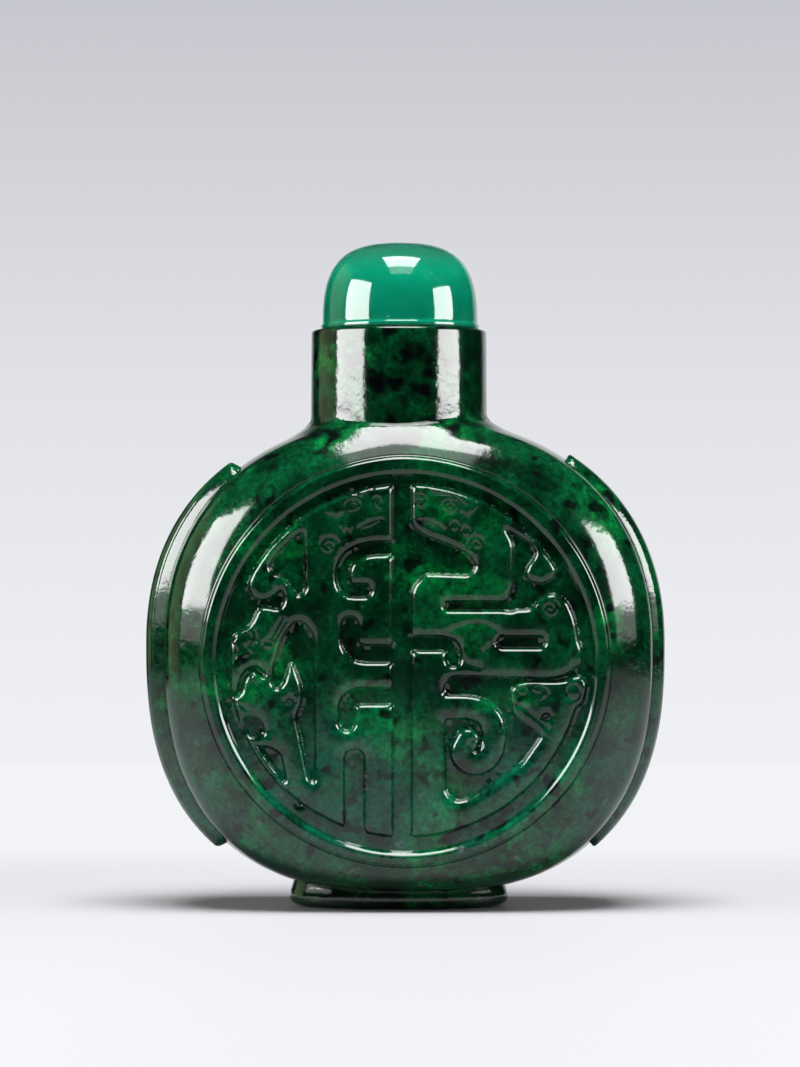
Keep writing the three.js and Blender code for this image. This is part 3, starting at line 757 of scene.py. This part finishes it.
def foot_form():
    rim = FOOT_HALF_DEPTH
    lower = arc((rim - FOOT_EDGE, FOOT_EDGE), FOOT_EDGE, -90, 0, 8)
    drawn_in = ((0, 1.0), (0.1, 1.4), (0.5, 1.8), (0.85, 2.2), (1, 2.6), (1, FOOT_ROOT))  # share, height
    upper = [(rim - share * FOOT_WAIST, z) for share, z in drawn_in]
    profile = [(0, 0), (rim - 1.6, 0)] + lower + upper + [(0, FOOT_ROOT)]
    return turned("foot_form", profile, NECK_X, 160, OVAL_POWER, (FOOT_HALF_WIDTH / FOOT_HALF_DEPTH, 1))


def foot_recess_form():
    half = FOOT_HALF_DEPTH - FOOT_RIM
    wide = (FOOT_HALF_WIDTH - FOOT_RIM) / half
    profile = [(0, -1), (half + 0.2, -1), (half + 0.05, 0.05), (half, 0.3)]
    profile += arc((half - RECESS_ROUNDING, FOOT_RECESS - RECESS_ROUNDING), RECESS_ROUNDING, 0, 90, 5)
    profile.append((0, FOOT_RECESS))
    return turned("foot_recess_form", profile, NECK_X, 96, OVAL_POWER, (wide, 1))


def hollow_form():
    """The empty belly: the body's outline drawn in by the wall, rounded towards both faces."""
    angles = np.linspace(0, 2 * math.pi, 72, endpoint=False)
    reach = outline_reach(angles, BODY_X, BODY_WIDEST, -WALL)
    rings = []
    for turn in np.linspace(math.pi, 0, 30)[1:-1]:
        out = math.sin(turn) ** (2 / HOLLOW_POWER)
        y = -math.copysign(abs(math.cos(turn)) ** (2 / HOLLOW_POWER), math.cos(turn)) * HOLLOW_HALF_DEPTH
        rings.append([(BODY_X + out * r * math.cos(angle), y, BODY_WIDEST + out * r * math.sin(angle))
                      for angle, r in zip(angles, reach)])
    back = (BODY_X, HOLLOW_HALF_DEPTH, BODY_WIDEST)
    front = (BODY_X, -HOLLOW_HALF_DEPTH, BODY_WIDEST)
    return capped("hollow_form", back, rings, front)


# ---- finishing the surfaces ----

def vertex_rows(mesh, what):
    """The vertices' places ("co") or normals ("normal"), one row each."""
    values = np.empty(len(mesh.vertices) * 3)
    mesh.vertices.foreach_get(what, values)
    return values.reshape(-1, 3)


def place_vertices(mesh, points):
    mesh.vertices.foreach_set("co", points.ravel())
    mesh.update()


RELAX = 0.6  # of the way to the neighbours' mean, in each round


def softened(piece, weight_of, rounds):
    """Relaxes the mesh where weight_of(points, in mm) is above 0, to round off a joint."""
    mesh = piece.data
    points = vertex_rows(mesh, "co") / MM
    edges = np.empty(len(mesh.edges) * 2, np.int64)
    mesh.edges.foreach_get("vertices", edges)
    edges = edges.reshape(-1, 2)
    weight = weight_of(points)
    edges = edges[(weight[edges] > 0).any(1)]
    for _ in range(rounds):
        total = np.zeros_like(points)
        count = np.zeros(len(points))
        for a, b in ((0, 1), (1, 0)):
            np.add.at(total, edges[:, a], points[edges[:, b]])
            np.add.at(count, edges[:, a], 1)
        mean = total / np.maximum(count, 1)[:, None]
        points += (weight * (count > 0))[:, None] * (mean - points) * RELAX
    place_vertices(mesh, points * MM)


def neck_joint(points):
    """How much to round off the line where neck and body meet: most beside the neck, 0 from about
    1.5 mm away, and nothing at its front and back."""
    x, y, z = points.T
    from_neck = np.hypot(x - NECK_X, y) - NECK_RADIUS
    reach = outline_reach(np.arctan2(z - MEDALLION_Z, x), 0, MEDALLION_Z)
    share = side_section(2)[1](np.minimum(np.abs(y), FACE_DEPTH - RING_STEP))
    above_surface = np.hypot(x, z - MEDALLION_Z) - RING_FOOT - share * (reach - RING_FOOT)
    from_body = above_surface * SHOULDER_COSINE
    near_joint = bell(np.hypot(from_neck, from_body), JOINT_RADIUS)
    outer = (z > NECK_ROOT) & (from_neck > -1) & (from_body > -1)
    beside = smooth((np.abs(x - NECK_X) / NECK_RADIUS - 0.5) / 0.4)
    return np.where(outer & (near_joint > 0.02), near_joint * beside, 0)


def hand_polished(piece, size, amount, seed):
    """A very slight unevenness, as left by polishing by hand. The underside stays flat."""
    mesh = piece.data
    points = vertex_rows(mesh, "co")
    lift = waves(points / MM, size, seed) * amount * MM
    lift *= smooth((points[:, 2] / MM - 0.9) / 0.6)
    place_vertices(mesh, points + lift[:, None] * vertex_rows(mesh, "normal"))


def shaded(piece, sharp_above):
    """Smooth shading, except on edges sharper than the angle in degrees."""
    mesh = piece.data
    mesh.polygons.foreach_set("use_smooth", [True] * len(mesh.polygons))
    mesh.set_sharp_from_angle(angle=math.radians(sharp_above))


# ---- materials ----

class Nodes:
    """A node tree, with short ways to make the nodes that are used again and again."""

    def __init__(self, tree):
        self.tree = tree

    def feed(self, slot, value):
        """Sets a slot to a number or a colour, or links it to a node's output."""
        if isinstance(value, bpy.types.NodeSocket):
            self.tree.links.new(value, slot)
        elif slot.type == "RGBA":
            slot.default_value = (*value, 1.0)
        else:
            slot.default_value = value

    def made(self, kind, inputs=None, output=0, **settings):
        """One node with its settings and inputs; gives the named or numbered output."""
        node = self.tree.nodes.new("ShaderNode" + kind)
        for name, value in settings.items():
            setattr(node, name, value)
        for slot, value in (inputs or {}).items():
            self.feed(node.inputs[slot], value)
        return node.outputs[output]

    def parts(self, vector):
        """The X, Y and Z of a vector."""
        node = self.tree.nodes.new("ShaderNodeSeparateXYZ")
        self.feed(node.inputs[0], vector)
        return node.outputs

    def ranged(self, value, low, high, to_low=0.0, to_high=1.0, shape="SMOOTHSTEP"):
        """From to_low, where the value is low, to to_high, where it is high."""
        inputs = {"Value": value, "From Min": low, "From Max": high, "To Min": to_low, "To Max": to_high}
        return self.made("MapRange", inputs, "Result", interpolation_type=shape)

    def worked(self, operation, a, b):
        return self.made("Math", {0: a, 1: b}, operation=operation)

    def times(self, first, *others):
        for other in others:
            first = self.worked("MULTIPLY", first, other)
        return first

    def mixed(self, amount, below, above):
        return self.made("Mix", {0: amount, 6: below, 7: above}, 2, data_type="RGBA")

    def shader_mix(self, amount, below, above):
        return self.made("MixShader", {0: amount, 1: below, 2: above})


class Surface(Nodes):
    """Builds one procedural material: every pattern is read at the object's own place."""

    def __init__(self, name):
        self.material = bpy.data.materials.new(name)
        self.material.use_nodes = True
        super().__init__(self.material.node_tree)
        self.shader = self.tree.nodes["Principled BSDF"]
        self.place = self.made("TexCoord", output="Object")
        self.x, self.y, self.z = self.parts(self.place)

    def noise(self, size_mm, detail=3.0, roughness=0.55, distortion=0.0, place=None):
        inputs = {"Vector": place or self.place, "Scale": 1 / (size_mm * MM), "Detail": detail,
                  "Roughness": roughness, "Distortion": distortion}
        return self.made("TexNoise", inputs, "Fac")

    def spots(self, size_mm, place):
        inputs = {"Vector": place, "Scale": 1 / (size_mm * MM), "Randomness": 1.0}
        return self.made("TexVoronoi", inputs, "Distance")

    def moved(self, scale, offset, turn=(0, 0, 0)):
        inputs = {"Vector": self.place, "Scale": scale, "Location": offset, "Rotation": turn}
        return self.made("Mapping", inputs, "Vector")

    def bumped(self, layers):
        """Bump from (value, height in mm) layers, one on another."""
        normal = {}
        for value, height_mm in layers:
            inputs = {"Strength": 1.0, "Distance": height_mm * MM, "Height": value, **normal}
            normal = {"Normal": self.made("Bump", inputs, "Normal")}
        self.feed(self.shader.inputs["Normal"], normal["Normal"])

    def set(self, values):
        for name, value in values.items():
            self.feed(self.shader.inputs[name], value)


BLACK = (0.0006, 0.0008, 0.0014)


def green_stone():
    """Mottled emerald and black green, blacker on the neck; a painted reflection of the pale floor makes
    the lower body paler, and painted shade darkens the neck's right side.
    """
    s = Surface("green_stone")
    clouds = s.noise(4.2, 5.0, 0.62, 0.4)
    colour = s.mixed(s.ranged(clouds, 0.36, 0.64), (0.0002, 0.0108, 0.0034), (0.0007, 0.041, 0.0125))

    patches = s.ranged(s.noise(8.5, 4.0, 0.6, 0.6), 0.5, 0.67)
    broken = s.ranged(s.noise(1.5, 4.0, 0.65), 0.36, 0.62)
    colour = s.mixed(s.times(patches, broken), colour, (0.0008, 0.125, 0.023))

    fibres = s.noise(0.8, 6.0, 0.7, 0.5, s.moved((1, 1, 2.6), (0.004, 0, 0.001), (0.3, 0.7, 0.5)))
    here = s.ranged(s.noise(6.0, 3.0, 0.5), 0.45, 0.65)
    colour = s.mixed(s.times(s.ranged(fibres, 0.56, 0.74), here, 0.5), colour, (0.012, 0.1, 0.05))

    # painted reflection of the pale floor: below the middle, but not on the foot, the colour turns
    # patchily to a pale cloudy green
    painted_reflection_zone = s.times(s.ranged(s.z, 0.024, 0.011), s.ranged(s.z, 0.001, 0.008))
    painted_floor_reflection = s.times(painted_reflection_zone, s.ranged(s.noise(3.0, 4.0, 0.6), 0.32, 0.6), 0.36)
    colour = s.mixed(painted_floor_reflection, colour, (0.003, 0.11, 0.07))

    grains = s.ranged(s.noise(0.5, 3.0, 0.6), 0.3, 0.7, 0.6, 1.35)
    colour = s.made("HueSaturation", {"Color": colour, "Value": grains}, "Color")

    blots = s.noise(1.7, 1.5, 0.45, 0.2, s.moved((1, 1, 1), (0.013, 0.002, 0.007)))
    colour = s.mixed(s.times(s.ranged(blots, 0.57, 0.71), 0.9), colour, BLACK)
    upper = s.ranged(s.z, 0.04, 0.045)
    colour = s.mixed(s.times(s.ranged(blots, 0.49, 0.62), upper, 0.8), colour, BLACK)
    # painted shade: the right side of the neck is darkened to a deep green
    painted_shade_neck_right = s.times(upper, s.ranged(s.x, 0.0035, 0.0065), 0.75)
    colour = s.mixed(painted_shade_neck_right, colour, (0.0004, 0.01, 0.004))

    specks = s.ranged(s.spots(3.4, s.moved((1, 1, 1), (0.001, 0.003, 0.002))), 0.04, 0.16, 1.0, 0.0)
    ragged = s.ranged(s.noise(0.5, 3.0, 0.6), 0.4, 0.6)
    low = s.ranged(s.z, 0.02, 0.01)
    colour = s.mixed(s.times(specks, ragged, low, 0.45), colour, (0.17, 0.12, 0.2))

    roughness = s.ranged(s.noise(1.4, 4.0, 0.6), 0.3, 0.75, 0.07, 0.12)
    s.set({"Base Color": colour, "Roughness": roughness, "IOR": 1.52})
    from_middle = s.made("Math", {0: s.y}, operation="ABSOLUTE")
    uneven = s.ranged(from_middle, 0.0092, 0.0099, 1.0, 0.16)  # the carved faces are polished flatter
    pits = s.ranged(s.noise(0.3, 4.0, 0.65), 0.62, 0.8, 0.0, -1.0)
    s.bumped([
        (s.times(s.noise(1.3, 2.0, 0.5), uneven), 0.024),
        (s.times(s.noise(0.45, 3.0, 0.6), uneven), 0.008),
        (pits, 0.003),
    ])
    return s.material


def bright_green_stone():
    """Even blue green, a little translucent, cloudy in places, with painted shade darkening its top."""
    s = Surface("bright_green_stone")
    clouds = s.noise(6.0, 4.0, 0.6, 0.3)
    colour = s.mixed(s.ranged(clouds, 0.35, 0.65), (0.0006, 0.15, 0.08), (0.0015, 0.18, 0.1))
    cloudy = s.ranged(s.noise(2.2, 5.0, 0.7), 0.55, 0.75)
    colour = s.mixed(s.times(cloudy, 0.3), colour, (0.025, 0.23, 0.15))
    # painted shade: the top of the dome is darkened
    painted_shade_top = s.ranged(s.z, (STOPPER_TOP - 3.2) * MM, (STOPPER_TOP - 0.6) * MM)
    colour = s.mixed(s.times(painted_shade_top, 0.85), colour, (0.01, 0.062, 0.04))
    flecks = s.ranged(s.spots(1.9, s.moved((1, 1, 1.4), (0.002, 0.001, 0))), 0.06, 0.13, 1.0, 0.0)
    some = s.ranged(s.noise(3.0, 2.0, 0.5), 0.5, 0.62)
    colour = s.mixed(s.times(flecks, some, 0.6), colour, (0.2, 0.45, 0.33))
    roughness = s.ranged(s.noise(1.2, 3.0, 0.5), 0.3, 0.7, 0.04, 0.08)
    s.set({"Base Color": colour, "Roughness": roughness, "IOR": 1.54})
    s.set({"Subsurface Weight": 0.5, "Subsurface Radius": (0.4, 1.0, 0.7), "Subsurface Scale": 0.003})
    s.bumped([(s.noise(1.5, 3.0, 0.5), 0.003)])
    return s.material


# ---- pieces ----

def make_bottle():
    piece = body_form()
    piece.name = "carved_bottle"
    combined(piece, neck_form(), "UNION")
    combined(piece, foot_form(), "UNION")
    softened(piece, neck_joint, 14)
    combined(piece, foot_recess_form(), "DIFFERENCE")
    combined(piece, hollow_form(), "DIFFERENCE")
    combined(piece, mouth_form(), "DIFFERENCE")
    hand_polished(piece, 5.0, 0.012, 3)
    shaded(piece, 42)
    piece.data.materials.clear()
    piece.data.materials.append(green_stone())
    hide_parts("bottle")
    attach(piece, "root")


def make_stopper():
    base = STOPPER_BOTTOM - STOPPER_LOWERED
    height = STOPPER_TOP - base
    bead_top = base + STOPPER_BEAD
    dome_radius = STOPPER_RADIUS - STOPPER_STEP
    profile = [(0, base), (6.0, base), (6.8, base)]
    edge = (STOPPER_RADIUS - STOPPER_ROUNDING, base + STOPPER_ROUNDING)
    profile += arc(edge, STOPPER_ROUNDING, -90, 0, 4)
    profile += [
        (STOPPER_RADIUS, bead_top - 0.08),
        (STOPPER_RADIUS - 0.03, bead_top),
        (dome_radius + 0.03, bead_top + 0.08),
        (dome_radius, bead_top + 0.2),
    ]
    start = math.asin(((STOPPER_BEAD + DOME_START) / height) ** (STOPPER_POWER / 2))
    for turn in np.linspace(start, math.pi / 2, 40):
        out = math.cos(turn) ** (2 / STOPPER_POWER)
        up = math.sin(turn) ** (2 / STOPPER_POWER)
        profile.append((dome_radius * out, base + height * up))
    profile[-1] = (0, STOPPER_TOP)
    piece = turned("domed_stopper", profile, STOPPER_X, 128)
    hand_polished(piece, 6.0, 0.01, 9)
    shaded(piece, 60)
    piece.data.materials.append(bright_green_stone())
    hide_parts("stopper")
    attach(piece, "root")


make_bottle()
make_stopper()


# ---- floor, light and camera, in metres ----

CAMERA_DISTANCE = 0.40
CAMERA_HEIGHT = 0.030
VIEW_WIDTH = 0.07384  # at the bottle's middle
VIEW_MIDDLE = 0.03429  # height at the middle of the view
FLOOR_FRONT = 0.40  # the floor ends here, in front of the bottle
FLOOR_BACK = 0.3
FLOOR_HALF_WIDTH = 0.5
FADE_START = 0.02  # behind the bottle the floor fades into the backdrop
FADE_END = 0.09
BACKDROP_LOW = (0.89, 0.9, 0.93)  # the backdrop's colour where it meets the floor


def make_floor():
    left, right = -FLOOR_HALF_WIDTH, FLOOR_HALF_WIDTH
    front, back = -FLOOR_FRONT, FLOOR_BACK
    corners = np.array([(left, front, 0), (right, front, 0), (right, back, 0), (left, back, 0)])
    floor = mesh_object("floor", corners / MM, [(0, 1, 2, 3)])
    s = Surface("pale_floor")
    s.set({"Base Color": (0.256, 0.252, 0.266), "Roughness": 0.6})
    seen = s.made("LightPath", output="Is Camera Ray")
    faded = s.times(s.ranged(s.y, FADE_START, FADE_END), seen)
    backdrop = s.made("Emission", {"Color": BACKDROP_LOW})
    surface = s.shader_mix(faded, s.shader.outputs[0], backdrop)
    s.feed(s.tree.nodes["Material Output"].inputs["Surface"], surface)
    floor.data.materials.append(s.material)


BOX_RADIANCE = 16.0
BOX_DISTANCE = 0.15
SKIRT_LOW = 0.03
SKIRT_TOP = 0.0505  # where the side boxes start
FILL_DISTANCE = 0.5
TOP_X = 0.015
TOP_HEIGHT = 0.55
TOP_WIDTH = 0.33


def make_box(name, place, target, size, radiance, mirrored):
    """An area light of the given radiance: a softbox that the polish mirrors, or a soft fill."""
    data = bpy.data.lights.new(name, "AREA")
    data.shape = "RECTANGLE"
    data.size, data.size_y = size
    data.energy = radiance * math.pi * size[0] * size[1]
    light = bpy.data.objects.new(name, data)
    light.location = place
    light.rotation_euler = (Vector(target) - Vector(place)).to_track_quat("-Z", "Y").to_euler()
    light.visible_camera = False
    light.visible_glossy = mirrored
    light.visible_diffuse = not mirrored
    bpy.context.scene.collection.objects.link(light)


def make_side_box(name, azimuth, distance, width, low, high, radiance, mirrored):
    """A tall softbox beside the bottle; azimuth is from the front, positive to the right."""
    x, y = distance * math.sin(math.radians(azimuth)), -distance * math.cos(math.radians(azimuth))
    middle = (low + high) / 2
    make_box(name, (x, y, middle), (0, 0, middle), (width, high - low), radiance, mirrored)


def make_top_box(name, y, depth, radiance, mirrored):
    make_box(name, (TOP_X, y, TOP_HEIGHT), (TOP_X, y, 0), (TOP_WIDTH, depth), radiance, mirrored)


def make_boxes():
    """The polish mirrors a tall softbox on each side, with a dim skirt below it that shows the carving's
    upright walls, and a box above with a dim one in front. The fills light the stone and the floor."""
    for side, azimuth, width, top in (("left", -66.6, 0.112, 0.139), ("right", 67.5, 0.086, 0.116)):
        make_side_box(side + "_box", azimuth, BOX_DISTANCE, width, SKIRT_TOP, top, BOX_RADIANCE, True)
        make_side_box(side + "_skirt", azimuth, BOX_DISTANCE, width, SKIRT_LOW, SKIRT_TOP, 1.9, True)
    make_top_box("top_box", -0.14, 0.28, BOX_RADIANCE, True)
    make_top_box("top_edge", -0.39, 0.22, 3.0, True)
    for side, azimuth, width in (("left", -72, 0.37), ("right", 76, 0.33)):
        make_side_box(side + "_fill", azimuth, FILL_DISTANCE, width, 0.14, 0.42, 4.0, False)
    make_top_box("top_fill", -0.11, 0.31, 35.0, False)


def make_camera():
    data = bpy.data.cameras.new("camera")
    camera = bpy.data.objects.new("camera", data)
    bpy.context.scene.collection.objects.link(camera)
    bpy.context.scene.camera = camera
    data.sensor_fit = "HORIZONTAL"
    data.sensor_width = 36
    data.lens = data.sensor_width * CAMERA_DISTANCE / VIEW_WIDTH
    data.shift_y = (VIEW_MIDDLE - CAMERA_HEIGHT) / VIEW_WIDTH
    data.clip_start = 0.01
    camera.location = (-0.0005, -CAMERA_DISTANCE, CAMERA_HEIGHT)
    camera.rotation_euler = (math.pi / 2, 0, 0)


BACKDROP = (  # height of the line of sight, as a share of the view, and the colour there
    (0.0, (0.9, 0.88, 0.93)),
    (0.22, BACKDROP_LOW),
    (0.4, (0.84, 0.85, 0.88)),
    (0.62, (0.76, 0.768, 0.8)),
    (0.98, (0.565, 0.57, 0.615)),
)


def make_world():
    """A pale backdrop that the camera sees, darker upwards. What the stone reflects is a dark room with
    that backdrop only straight behind, and a dim olive screen behind on the left."""
    world = bpy.data.worlds.new("studio")
    bpy.context.scene.world = world
    world.use_nodes = True
    w = Nodes(world.node_tree)
    x, y, z = w.parts(w.made("TexCoord", output="Generated"))

    # the backdrop reaches further round on the right than on the left
    to_right = w.times(w.worked("MAXIMUM", x, 0.0), 0.27)
    to_left = w.times(w.worked("MINIMUM", x, 0.0), -0.1)
    backward = w.worked("ADD", y, w.worked("ADD", to_right, to_left))
    behind = w.times(w.ranged(backward, 0.9, 1.02), w.ranged(z, 0.5, 0.7, 0.85, 0.0))
    olive = w.times(w.ranged(y, 0.0, 0.12), w.ranged(y, 0.58, 0.68, 1, 0))
    olive = w.times(olive, w.ranged(x, -0.6, -0.5, 1, 0), w.ranged(z, 0.5, 0.6, 1, 0))
    room = w.ranged(z, -0.1, 0.9, 0.006, 0.025)
    reflected = None
    for colour, amount in (((1, 1, 1.04), behind), ((0.5, 0.62, 0.34), olive), ((0.9, 0.95, 1), room)):
        light = w.made("Background", {"Color": colour, "Strength": amount})
        reflected = light if reflected is None else w.made("AddShader", {0: reflected, 1: light})

    ramp = w.tree.nodes.new("ShaderNodeValToRGB")
    w.feed(ramp.inputs[0], w.ranged(z, -0.12, 0.14, shape="LINEAR"))
    colours = ramp.color_ramp.elements
    colours.remove(colours[1])
    colours[0].color = (*BACKDROP[0][1], 1)
    for position, colour in BACKDROP[1:]:
        colours.new(position).color = (*colour, 1)
    backdrop = w.made("Background", {"Color": ramp.outputs[0]})

    seen = w.made("LightPath", output="Is Camera Ray")
    surface = w.shader_mix(seen, reflected, backdrop)
    w.feed(w.tree.nodes["World Output"].inputs[0], surface)


bpy.context.scene.view_settings.view_transform = "Standard"
make_floor()
make_world()
make_boxes()
make_camera()
